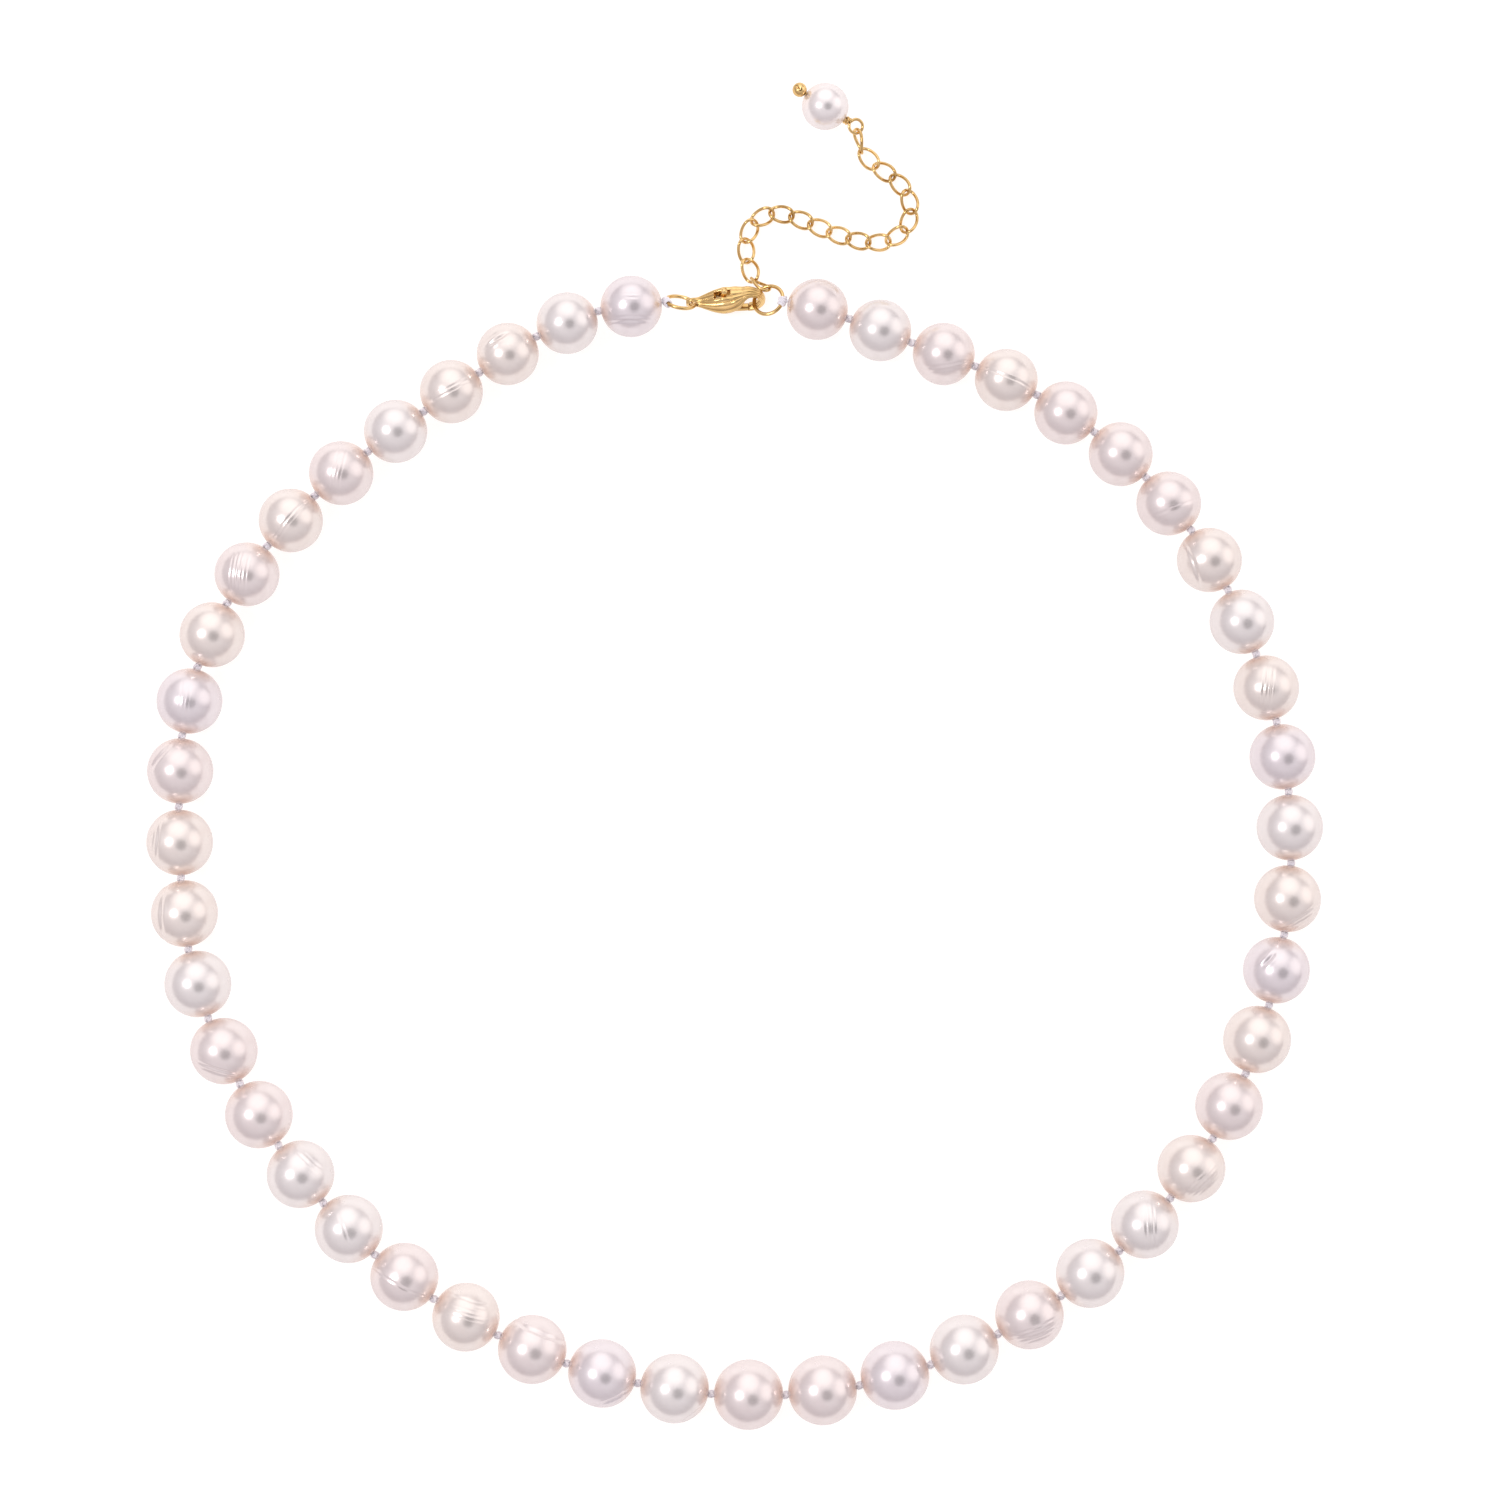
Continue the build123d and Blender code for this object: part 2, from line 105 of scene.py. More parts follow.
def grid_faces(rows, columns):
    """Faces of a grid that closes on itself both ways, rows around and columns around."""
    faces = []
    for row in range(rows):
        for column in range(columns):
            after, beside = (row + 1) % rows, (column + 1) % columns
            here, there = row * columns, after * columns
            faces.append((here + column, here + beside, there + beside, there + column))
    return faces


def drilled_ball(radius, around, along):
    """Points of a drilled ball about +Z, row by row, and 1 for each on its skin, 0 in its bore."""
    mouth = math.asin((drilling + mouth_chamfer) / radius)
    polar = np.linspace(mouth, math.pi - mouth, along)
    rims = radius * np.sin(polar)
    heights = radius * np.cos(polar)
    edge = heights[0] - mouth_chamfer
    bore = np.array([-edge, -edge / 2, 0, edge / 2, edge])
    rims = np.concatenate([rims, np.full(len(bore), drilling)])
    heights = np.concatenate([heights, bore])
    turn = np.linspace(0, 2 * math.pi, around, endpoint=False)
    points = np.empty((len(rims), around, 3))
    points[..., 0] = rims[:, None] * np.cos(turn)
    points[..., 1] = rims[:, None] * np.sin(turn)
    points[..., 2] = heights[:, None]
    skin = np.zeros((len(rims), around))
    skin[:along] = 1
    return points.reshape(-1, 3), skin.ravel()


def uneven(directions, amount):
    """Slow swelling and flattening of a grown pearl, as a share of its radius."""
    swell = np.zeros(len(directions))
    for power in (2, 2, 3):
        lean = chance.normal(size=3)
        lean /= np.linalg.norm(lean)
        swell += amount * chance.uniform(-1, 1) * (directions @ lean) ** power
    return swell


def wrinkle(directions, turn, place, lines, reach, depth, width, radius=4.2 * mm):
    """Parallel growth wrinkles: grooves with raised edges across a pearl.

    turn is the way across the grooves on the table, in degrees, place and reach are shares of
    the radius, and depth and width are metres.
    """
    angle = math.radians(turn)
    across = directions @ np.array([math.cos(angle), math.sin(angle), 0])
    along = directions @ np.array([-math.sin(angle), math.cos(angle), 0])
    spacing, fainter, lip, lip_place = 0.12, 0.35, 0.35, 2.2
    waver = 0.014 * np.sin(4 * along + turn) + 0.004 * np.sin(11 * along)
    fade = np.exp(-((along / reach) ** 4))
    change = np.zeros(len(directions))
    for line in range(lines):
        gap = (across - place - waver - spacing * (line - (lines - 1) / 2)) * radius / width
        strength = 1 - fainter * (line % 2)
        change -= depth * strength * np.exp(-(gap**2)) * fade
        change += lip * depth * strength * np.exp(-((np.abs(gap) - lip_place) ** 2)) * fade
    return change


# pearl: (turn, place, lines, reach, depth in mm, width in mm)
wrinkles = {
    1: [(90, 0.22, 2, 0.25, 0.05, 0.10), (90, -0.52, 2, 0.8, 0.05, 0.14)],
    3: [(122, 0.46, 1, 0.34, 0.22, 0.22), (122, 0.62, 1, 0.8, 0.03, 0.2)],
    4: [(118, -0.02, 2, 0.6, 0.07, 0.11)],
    6: [(170, 0.0, 3, 0.7, 0.03, 0.12)],
    7: [(-40, 0.1, 2, 0.8, 0.06, 0.12)],
    8: [(172, 0.12, 5, 0.55, 0.07, 0.10)],
    10: [(175, 0.0, 3, 0.5, 0.03, 0.12)],
    11: [(140, 0.66, 1, 0.5, 0.12, 0.2)],
    12: [(175, 0.60, 2, 0.7, 0.06, 0.15)],
    13: [(178, 0.56, 1, 0.95, 0.09, 0.2)],
    15: [(-110, 0.52, 2, 0.6, 0.08, 0.13)],
    17: [(50, 0.6, 2, 0.5, 0.05, 0.13)],
    18: [(20, 0.0, 1, 0.5, 0.03, 0.15)],
    19: [(62, -0.12, 1, 0.8, 0.07, 0.12)],
    20: [(75, 0.38, 5, 0.5, 0.045, 0.10)],
    21: [(66, 0.64, 1, 0.8, 0.13, 0.16)],
    22: [(-62, 0.72, 1, 0.5, 0.13, 0.16)],
    23: [(-50, 0.84, 1, 0.4, 0.08, 0.14)],
    28: [(-68, 0.42, 4, 0.7, 0.05, 0.12)],
    30: [(5, 0.08, 3, 0.6, 0.05, 0.12)],
    31: [(-45, 0.4, 4, 0.6, 0.04, 0.12)],
    34: [(135, 0.5, 1, 0.26, 0.22, 0.2)],
    35: [(-60, 0.66, 3, 0.7, 0.05, 0.12)],
    38: [(172, 0.08, 3, 0.5, 0.10, 0.13)],
    40: [(200, 0.6, 1, 0.8, 0.07, 0.16)],
    41: [(110, -0.2, 1, 0.7, 0.03, 0.15)],
    44: [(66, 0.0, 1, 0.75, 0.08, 0.12)],
    45: [(-80, 0.5, 2, 0.8, 0.03, 0.15)],
}


def shader(material):
    """Node tree, links and surface shader of a material."""
    material.use_nodes = True
    tree = material.node_tree
    return tree, tree.links, tree.nodes["Principled BSDF"]


def noise(tree, coordinate, scale, detail=2.0, distortion=0.0):
    """A noise texture on a coordinate, with its scale in waves to the metre."""
    node = tree.nodes.new("ShaderNodeTexNoise")
    node.inputs["Scale"].default_value = scale
    node.inputs["Detail"].default_value = detail
    node.inputs["Distortion"].default_value = distortion
    tree.links.new(coordinate, node.inputs["Vector"])
    return node.outputs["Fac"]


def ramp(tree, value, stops):
    """A colour ramp: stops are (place, colour) pairs."""
    node = tree.nodes.new("ShaderNodeValToRGB")
    while len(node.color_ramp.elements) < len(stops):
        node.color_ramp.elements.new(0.5)
    for element, (place, colour) in zip(node.color_ramp.elements, stops):
        element.position = place
        element.color = (*colour, 1)
    tree.links.new(value, node.inputs["Fac"])
    return node.outputs["Color"]


def spread(tree, value, low, high):
    """A 0 to 1 value spread between two others."""
    node = tree.nodes.new("ShaderNodeMapRange")
    node.inputs["To Min"].default_value = low
    node.inputs["To Max"].default_value = high
    tree.links.new(value, node.inputs["Value"])
    return node.outputs["Result"]


def bump(tree, height, distance, under=None):
    """A bump from a height, on top of another bump if one is given."""
    node = tree.nodes.new("ShaderNodeBump")
    node.inputs["Strength"].default_value = 1.0
    node.inputs["Distance"].default_value = distance
    tree.links.new(height, node.inputs["Height"])
    if under is not None:
        tree.links.new(under, node.inputs["Normal"])
    return node.outputs["Normal"]


def nacre(name, pale, deep, painted_drilling_glow=(0.92, 0.74, 0.64)):
    """Layered pearl skin, from a pale tone to a deeper one, with a painted warm glow round the drilling
    that stands for bounced light.
    """
    material = bpy.data.materials.new(name)
    tree, links, surface = shader(material)
    coordinate = tree.nodes.new("ShaderNodeTexCoord").outputs["Object"]
    clouds = noise(tree, coordinate, 260, 3, 0.6)
    tone = ramp(tree, clouds, [(0.32, deep), (0.68, pale)])
    # painted glow: a warm peach mixed into the colour near each drilling, standing for bounced light
    mouth = tree.nodes.new("ShaderNodeAttribute")
    mouth.attribute_name = "painted_drilling_glow_share"
    drilling_glow_mix = tree.nodes.new("ShaderNodeMix")
    drilling_glow_mix.data_type = "RGBA"
    links.new(mouth.outputs["Fac"], drilling_glow_mix.inputs["Factor"])
    links.new(tone, drilling_glow_mix.inputs["A"])
    drilling_glow_mix.inputs["B"].default_value = (*painted_drilling_glow, 1)
    links.new(drilling_glow_mix.outputs["Result"], surface.inputs["Base Color"])
    links.new(spread(tree, noise(tree, coordinate, 420, 2), 0.20, 0.30), surface.inputs["Roughness"])
    layers = tree.nodes.new("ShaderNodeTexWave")
    layers.wave_type = "RINGS"
    layers.inputs["Scale"].default_value = 420
    layers.inputs["Distortion"].default_value = 5
    layers.inputs["Detail"].default_value = 2
    links.new(coordinate, layers.inputs["Vector"])
    grown = bump(tree, layers.outputs["Fac"], 1.5e-6)
    dimpled = bump(tree, noise(tree, coordinate, 900, 3), 9e-6, grown)
    links.new(dimpled, surface.inputs["Normal"])
    surface.inputs["Metallic"].default_value = 0.52
    surface.inputs["IOR"].default_value = 1.55
    surface.inputs["Specular Tint"].default_value = (0.77, 0.72, 0.72, 1)
    surface.inputs["Coat Weight"].default_value = 0.24
    surface.inputs["Coat Roughness"].default_value = 0.06
    surface.inputs["Coat IOR"].default_value = 1.5
    return material


tints = {
    "rose": nacre("nacre_rose", (0.80, 0.728, 0.722), (0.74, 0.655, 0.65)),
    "cream": nacre("nacre_cream", (0.81, 0.745, 0.715), (0.76, 0.68, 0.645)),
    "white": nacre("nacre_white", (0.80, 0.755, 0.75), (0.75, 0.70, 0.692)),
    "lilac": nacre("nacre_lilac", (0.78, 0.725, 0.75), (0.72, 0.655, 0.68)),
}
tint_order = (
    "lilac white cream cream white rose cream rose cream lilac rose cream cream white rose rose "
    "white white rose cream rose lilac white rose rose lilac white rose white white cream rose "
    "cream lilac cream white lilac cream white cream rose rose rose cream rose white rose"
).split()


def pearl_piece(name, centre, radius, axis, tint, lines, amount, around=96, along=64):
    """One finished pearl, which stands for its CAD node."""
    local, skin = drilled_ball(radius, around, along)
    turned = up.rotation_difference(axis).to_matrix()
    points = local @ np.array(turned).T
    directions = points / np.linalg.norm(points, axis=1)[:, None]
    change = uneven(directions, amount) * radius
    for turn, place, count, reach, depth, width in lines:
        change += wrinkle(directions, turn, place, count, reach, depth * mm, width * mm)
    points = points + directions * (change * skin)[:, None]
    rows = len(points) // around
    piece = mesh_piece(name, points, grid_faces(rows, around), tints[tint])
    # share of the painted glow at each point, highest at the drilling mouths
    from_mouth = 1 - np.abs(local[:, 2]) / radius
    near = np.clip(1 - from_mouth / drilling_glow_reach, 0, 1) ** drilling_glow_falloff * drilling_glow_strength
    attribute = piece.data.attributes.new("painted_drilling_glow_share", "FLOAT", "POINT")
    attribute.data.foreach_set("value", near.astype(np.float32))
    piece.location = centre
    return piece


for number in range(1, pearl_count + 1):
    centre, radius, axis = pearl_place(number)
    lines = wrinkles.get(number, [])
    # a wrinkled pearl needs a finer skin than a smooth one
    fineness = dict(around=168, along=112) if lines else {}
    name, tint = f"nacre_pearl_{number:02d}", tint_order[number - 1]
    pearl = pearl_piece(name, centre, radius, axis, tint, lines, strand_unevenness, **fineness)
    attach(pearl, body_of(number))
    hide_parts(f"pearl_{number:02d}")


# Silk ----------------------------------------------------------------------------------
# One length of two-ply silk, doubled and drawn through every pearl. An overhand knot is pulled
# down in each gap, so that the pearls can't rub, and at each end the thread is wound four
# times round the ring before it goes back into the last pearl.

ply_radius = 0.15 * mm
ply_offset = 0.12 * mm
twist_length = 0.9 * mm
thread_step = 0.16 * mm
thread_setback = 0.2 * mm
knot_ply = 0.20 * mm
knot_reach = 0.40 * mm
knot_length_share = 0.6
knot_steps = 54
lead_ply = 0.21 * mm
lead_in = 0.6 * mm
winding_ply = 0.16 * mm
winding_radius = 0.44 * mm
winding_spacing = 1.8
steps_a_winding = 20
ring_windings = 4


def tube(points, radius, sides=8, closed=False):
    """Points and faces of a round tube along a line of points."""
    points = np.array([tuple(point) for point in points], float)
    count = len(points)
    ahead = np.roll(points, -1, 0) - np.roll(points, 1, 0)
    if not closed:
        ahead[0] = points[1] - points[0]
        ahead[-1] = points[-1] - points[-2]
    ahead /= np.linalg.norm(ahead, axis=1)[:, None]
    side = np.cross(ahead[0], (0.3, 0.2, 0.9))
    frames = []
    for direction in ahead:
        side = side - direction * (side @ direction)
        side /= np.linalg.norm(side)
        frames.append((side, np.cross(direction, side)))
    if closed:
        # spread what is left of the twist over the loop, so that the ends meet
        last, first = frames[-1][0], frames[0]
        last = last - ahead[0] * (last @ ahead[0])
        slip = math.atan2(last @ first[1], last @ first[0])
    turn = np.linspace(0, 2 * math.pi, sides, endpoint=False)
    rings = []
    for index, (side, lift) in enumerate(frames):
        extra = -slip * index / count if closed else 0
        ring = points[index] + radius * (
            np.cos(turn + extra)[:, None] * side + np.sin(turn + extra)[:, None] * lift
        )
        rings.append(ring)
    faces = []
    for row in range(count if closed else count - 1):
        after = (row + 1) % count
        for column in range(sides):
            beside = (column + 1) % sides
            here, there = row * sides, after * sides
            faces.append((here + column, here + beside, there + beside, there + column))
    if not closed:
        faces.append(tuple(reversed(range(sides))))
        faces.append(tuple(range((count - 1) * sides, count * sides)))
    return np.concatenate(rings), faces


def joined(parts):
    """Several (points, faces) pairs as one."""
    points, faces, used = [], [], 0
    for part_points, part_faces in parts:
        points.append(part_points)
        faces += [tuple(index + used for index in face) for face in part_faces]
        used += len(part_points)
    return np.concatenate(points), faces


def twisted_thread(start, end):
    """The two plies of a straight stretch of thread."""
    along = end - start
    across = along.orthogonal().normalized()
    beside = along.normalized().cross(across)
    steps = max(8, int(along.length / thread_step))
    plies = []
    for half_turn in (0, math.pi):
        line = []
        for step in range(steps + 1):
            angle = 2 * math.pi * along.length * step / steps / twist_length + half_turn
            out = across * math.cos(angle) + beside * math.sin(angle)
            line.append(start + along * (step / steps) + ply_offset * out)
        plies.append(tube(line, ply_radius, 7))
    return plies


def pulled_knot(centre, axis):
    """An overhand knot pulled tight round the thread."""
    across = axis.orthogonal().normalized()
    beside = axis.cross(across)
    line = []
    for step in range(knot_steps):
        angle = 2 * math.pi * step / knot_steps
        line.append(
            centre
            + across * knot_reach / 3 * (math.sin(angle) + 2 * math.sin(2 * angle))
            + beside * knot_reach / 3 * (math.cos(angle) - 2 * math.cos(2 * angle))
            - axis * knot_reach * knot_length_share * math.sin(3 * angle)
        )
    return tube(line, knot_ply, 8, closed=True)


def ring_lead(mouth, wire_point):
    """The doubled thread from a pearl's mouth to the windings on a ring."""
    inward = (mouth - wire_point).normalized()
    return tube([mouth + inward * lead_in, mouth, wire_point + inward * winding_radius], lead_ply, 8)


def ring_winding(ring_centre, ring_normal, wire_point, windings):
    """The thread side by side round a ring's wire."""
    arm = wire_point - ring_centre
    line = []
    steps = steps_a_winding * windings
    for step in range(steps + 1):
        share = step / steps
        angle = 2 * math.pi * windings * share
        slide = (share - 0.5) * windings * winding_spacing * winding_ply / arm.length
        here = Matrix.Rotation(slide, 3, ring_normal) @ arm
        out = here.normalized() * math.cos(angle) + ring_normal * math.sin(angle)
        line.append(ring_centre + here + out * winding_radius)
    return tube(line, winding_ply, 8)


def wire_ring_place(node):
    """Centre and normal of a CAD ring."""
    corners = np.array([vertex.co for vertex in frame["nodes"][node].data.vertices])
    low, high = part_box(node)
    centre = (low + high) / 2
    spread_ways = np.linalg.svd(corners - np.array(centre), full_matrices=False)[2]
    return centre, Vector(spread_ways[2])


silk = bpy.data.materials.new("twisted_silk")
tree, links, surface = shader(silk)
place = tree.nodes.new("ShaderNodeTexCoord").outputs["Object"]
links.new(
    ramp(tree, noise(tree, place, 900, 2), [(0.3, (0.75, 0.72, 0.79)), (0.7, (0.90, 0.88, 0.93))]),
    surface.inputs["Base Color"],
)
fibres = tree.nodes.new("ShaderNodeTexWave")
fibres.inputs["Scale"].default_value = 5200
fibres.inputs["Distortion"].default_value = 1.5
links.new(place, fibres.inputs["Vector"])
links.new(bump(tree, fibres.outputs["Fac"], 1.2e-5), surface.inputs["Normal"])
links.new(spread(tree, noise(tree, place, 2500, 1), 0.38, 0.6), surface.inputs["Roughness"])
surface.inputs["Sheen Weight"].default_value = 0.3
surface.inputs["Sheen Roughness"].default_value = 0.35
surface.inputs["Sheen Tint"].default_value = (0.95, 0.93, 1.0, 1)
# the silk glows faintly of its own: painted light that lifts it out of the shade between the pearls
surface.inputs["Emission Color"].default_value = (0.93, 0.92, 1.0, 1)
surface.inputs["Emission Strength"].default_value = 0.08

tail_loop = Vector(joints["clasp_ring_swing"]["pos_m"])
hook_wire = Vector(joints["end_ring_swivel"]["pos_m"])
tail_ring_centre, tail_ring_normal = wire_ring_place("clasp_ring")
end_ring_centre, end_ring_normal = wire_ring_place("end_ring")
end_loop = 2 * end_ring_centre - hook_wire

for number in range(1, pearl_count + 1):
    centre, radius, axis = pearl_place(number)
    inside = radius - thread_setback
    near = knot_point(number - 1) if number > 1 else centre - axis * inside
    far = knot_point(number) if number < pearl_count else centre + axis * inside
    parts = twisted_thread(near, far)
    if number < front_pearl:
        parts.append(pulled_knot(far, axis))
    if number > front_pearl:
        parts.append(pulled_knot(near, axis))
    if number == 1:
        parts.append(ring_lead(centre - axis * radius, tail_loop))
    if number == pearl_count:
        parts.append(ring_lead(centre + axis * radius, end_loop))
    thread = mesh_piece(f"silk_thread_{number:02d}", *joined(parts), silk)
    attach(thread, body_of(number))
    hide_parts("silk_cord")

ring_loops = {
    "tail_ring": (tail_ring_centre, tail_ring_normal, tail_loop),
    "end_ring": (end_ring_centre, end_ring_normal, end_loop),
}
for body, loop in ring_loops.items():
    wound = mesh_piece(f"silk_winding_{body}", *ring_winding(*loop, ring_windings), silk)
    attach(wound, body)
    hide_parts("silk_cord")


# Rings, rivet and spring ---------------------------------------------------------------
# Two jump rings of half-millimetre wire, closed and soldered, the rivet that the lever turns
# on, and the bent steel leaf behind the lever. All but the leaf are brass under gold plate,
# polished, so the plate shows faint hairlines. Its colour wanders at random from pale gold to a
# deep brown-gold: partly the plate's own uneven tone, partly painted dark reflection that the
# white tent does not give.

gold = bpy.data.materials.new("gold_plate")
tree, links, surface = shader(gold)
place = tree.nodes.new("ShaderNodeTexCoord").outputs["Object"]
# random patches from deep brown-gold to pale gold: the plate's own uneven tone, with painted dark
# reflection in the deep patches
links.new(
    ramp(tree, noise(tree, place, 320, 3), [(0.3, (0.54, 0.34, 0.12)), (0.7, (0.84, 0.59, 0.27))]),
    surface.inputs["Base Color"],
)
links.new(spread(tree, noise(tree, place, 700, 3), 0.10, 0.20), surface.inputs["Roughness"])
hairlines = bump(tree, noise(tree, place, 2400, 4, 1.5), 3e-6)
links.new(hairlines, surface.inputs["Normal"])
surface.inputs["Metallic"].default_value = 1.0

steel = bpy.data.materials.new("spring_steel")
tree, links, surface = shader(steel)
place = tree.nodes.new("ShaderNodeTexCoord").outputs["Object"]
links.new(
    ramp(tree, noise(tree, place, 900, 2), [(0.3, (0.42, 0.40, 0.38)), (0.7, (0.60, 0.58, 0.55))]),
    surface.inputs["Base Color"],
)
links.new(spread(tree, noise(tree, place, 3000, 2), 0.28, 0.42), surface.inputs["Roughness"])
surface.inputs["Metallic"].default_value = 1.0


def finish_node(node, material):
    """Gives a CAD node, which keeps its shape, its material."""
    shown = frame["nodes"][node]
    shown.data.materials.clear()
    shown.data.materials.append(material)


for node in ("clasp_ring", "end_ring", "clasp_rivet"):
    finish_node(node, gold)
finish_node("clasp_spring", steel)


# Clasp ---------------------------------------------------------------------------------
# A cast casing that runs on into the hook in one piece. Its back and cheeks carry long ribs
# from the tail eye to the nose. It is slotted through for the lever, whose thumb tab stands
# out of the back and whose other arm closes the hook.

clasp_origin = Vector(joints["clasp_tail_swing"]["pos_m"])
clasp_face = -Vector(joints["clasp_tail_swing"]["axis"])
clasp_along = (hook_wire - clasp_origin).normalized()
gate_side = clasp_face.cross(clasp_along)
clasp_turn = Matrix((clasp_along, gate_side, clasp_face)).transposed()
rib_count = 10
rib_depth = 0.075
slot_half_width = 0.51
slot_start = 3.0
slot_floor = -1.15
slot_end = 5.8
tab_slot = (2.7, 4.9)
tail_eye_hole = 0.62
rivet_hole = 0.35
pivot = (3.9, 0.7)
gate_reach = 3.46
right_through = 4


def smooth_line(points, steps):
    """Points of a smooth line through given ones, with as many steps between each two."""
    points = np.array(points, float)
    padded = np.vstack([2 * points[0] - points[1], points, 2 * points[-1] - points[-2]])
    line = []
    for here in range(1, len(padded) - 2):
        a, b, c, d = padded[here - 1 : here + 3]
        square, cube = 2 * a - 5 * b + 4 * c - d, 3 * b - a - 3 * c + d
        for t in np.linspace(0, 1, steps, endpoint=False):
            line.append(0.5 * (2 * b + (c - a) * t + square * t**2 + cube * t**3))
    line.append(points[-1])
    return np.array(line)


def forging(stations, sides, steps, squareness=2.4, ribs=0, depth=0.0):
    """A bar of changing section along a line in the clasp's plane, ribbed lengthwise if asked.

    Each station is (x, y, half height in the plane, half thickness), in millimetres.
    """
    line = smooth_line(stations, steps)
    place = line[:, :2]
    ahead = np.gradient(place, axis=0)
    ahead /= np.linalg.norm(ahead, axis=1)[:, None]
    beside = np.stack([-ahead[:, 1], ahead[:, 0]], 1)
    turn = np.linspace(0, 2 * math.pi, sides, endpoint=False)
    cos_turn, sin_turn = np.cos(turn), np.sin(turn)
    high = np.sign(cos_turn) * np.abs(cos_turn) ** (2 / squareness)
    thick = np.sign(sin_turn) * np.abs(sin_turn) ** (2 / squareness)
    share = np.linspace(0, 1, len(line))
    rings = []
    for index, here in enumerate(line):
        groove = np.ones(sides)
        if ribs:
            wave = np.abs(np.cos(ribs * turn / 2)) ** 0.8
            groove -= 2 * depth * (1 - wave) * math.sin(math.pi * share[index]) ** 0.5
        ring = np.empty((sides, 3))
        ring[:, 0] = here[0] + beside[index, 0] * here[2] * high * groove
        ring[:, 1] = here[1] + beside[index, 1] * here[2] * high * groove
        ring[:, 2] = here[3] * thick * groove
        rings.append(ring)
    points = np.concatenate(rings)
    count = len(line)
    faces = []
    for row in range(count - 1):
        for column in range(sides):
            other = (column + 1) % sides
            here, there = row * sides, (row + 1) * sides
            faces.append((here + column, here + other, there + other, there + column))
    faces.append(tuple(reversed(range(sides))))
    faces.append(tuple(range((count - 1) * sides, count * sides)))
    return points, faces


def in_clasp(points):
    """Points in the clasp's own millimetres as points in the frame."""
    return points * mm @ np.array(clasp_turn).T + np.array(clasp_origin)


def clasp_block(low, high):
    """A plain block in the clasp's own millimetres, to cut with."""
    sides = list(zip(low, high))
    corners = [(x, y, z) for x in sides[0] for y in sides[1] for z in sides[2]]
    faces = [(0, 1, 3, 2), (4, 6, 7, 5), (0, 4, 5, 1), (2, 3, 7, 6), (0, 2, 6, 4), (1, 5, 7, 3)]
    return np.array(corners, float), faces


def clasp_disc(centre, radius, half_thickness, sides=64):
    """A plain disc in the clasp's own millimetres, to cut or to join with."""
    turn = np.linspace(0, 2 * math.pi, sides, endpoint=False)
    flat = np.stack([centre[0] + radius * np.cos(turn), centre[1] + radius * np.sin(turn)], 1)
    points = np.vstack(
        [np.column_stack([flat, np.full(sides, height)]) for height in (-half_thickness, half_thickness)]
    )
    faces = [(i, (i + 1) % sides, sides + (i + 1) % sides, sides + i) for i in range(sides)]
    faces += [tuple(reversed(range(sides))), tuple(range(sides, 2 * sides))]
    return points, faces


def combine(piece, tool, operation):
    """Cuts a tool from a piece, or joins it on, and clears the tool away."""
    change = piece.modifiers.new("combine", "BOOLEAN")
    change.operation = operation
    change.solver = "EXACT"
    change.object = tool
    made = bpy.data.meshes.new_from_object(piece.evaluated_get(bpy.context.evaluated_depsgraph_get()))
    piece.modifiers.clear()
    piece.data = made
    bpy.data.objects.remove(tool)


casing_stations = [
    (-0.95, 0.0, 0.45, 0.34), (-0.2, 0.0, 0.80, 0.40), (0.6, 0.0, 0.66, 0.62), (1.6, 0.0, 1.02, 1.0),
    (2.8, 0.0, 1.55, 1.36), (4.0, -0.05, 1.93, 1.50), (5.0, -0.35, 1.78, 1.50), (5.8, -0.85, 1.30, 1.38),
    (6.5, -1.28, 0.80, 1.06), (7.35, -1.62, 0.52, 0.84), (8.35, -1.28, 0.46, 0.72),
    (8.93, -0.42, 0.45, 0.67), (8.93, 0.42, 0.45, 0.65), (8.40, 1.22, 0.45, 0.64), (7.55, 1.58, 0.45, 0.60),
    (6.95, 1.62, 0.42, 0.54),
]
casing = mesh_piece(
    "ribbed_clasp",
    *forging(casing_stations, sides=16 * rib_count, steps=12, ribs=rib_count, depth=rib_depth),
    gold,
)
cuts = (
    clasp_block((slot_start, slot_floor, -slot_half_width), (slot_end, right_through, slot_half_width)),
    clasp_block((tab_slot[0], -right_through, -slot_half_width), (tab_slot[1], -1.0, slot_half_width)),
    clasp_disc((0, 0), tail_eye_hole, 3),
    clasp_disc(pivot, rivet_hole, 3),
)
for cut in cuts:
    combine(casing, mesh_piece("tool", *cut, gold), "DIFFERENCE")
# the hook's mouth is cleared where the lever's tip passes
gate_sweep = mesh_piece("tool", *clasp_disc(pivot, gate_reach, 3), gold)
mouth_half = clasp_block((slot_end, pivot[1] - 0.2, -right_through), (9, 5, right_through))
combine(gate_sweep, mesh_piece("tool", *mouth_half, gold), "INTERSECT")
combine(casing, gate_sweep, "DIFFERENCE")
corners = np.array([vertex.co for vertex in casing.data.vertices])
casing.data.vertices.foreach_set("co", in_clasp(corners).astype(np.float32).ravel())
casing.data.update()
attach(casing, "clasp")
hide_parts("clasp_body")

lever_stations = [
    (4.15, -2.42, 0.30, 0.36), (4.12, -2.20, 0.40, 0.44), (4.0, -1.4, 0.40, 0.45), (3.9, -0.2, 0.50, 0.45),
    (3.95, 0.7, 0.80, 0.45), (4.55, 1.35, 0.60, 0.45), (5.4, 1.62, 0.40, 0.45), (6.4, 1.66, 0.35, 0.45),
    (7.2, 1.66, 0.35, 0.44),
]
points, faces = forging(lever_stations, sides=32, steps=8, squareness=4)
lever = mesh_piece("sprung_lever", in_clasp(points), faces, gold)
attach(lever, "lever")
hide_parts("clasp_lever")


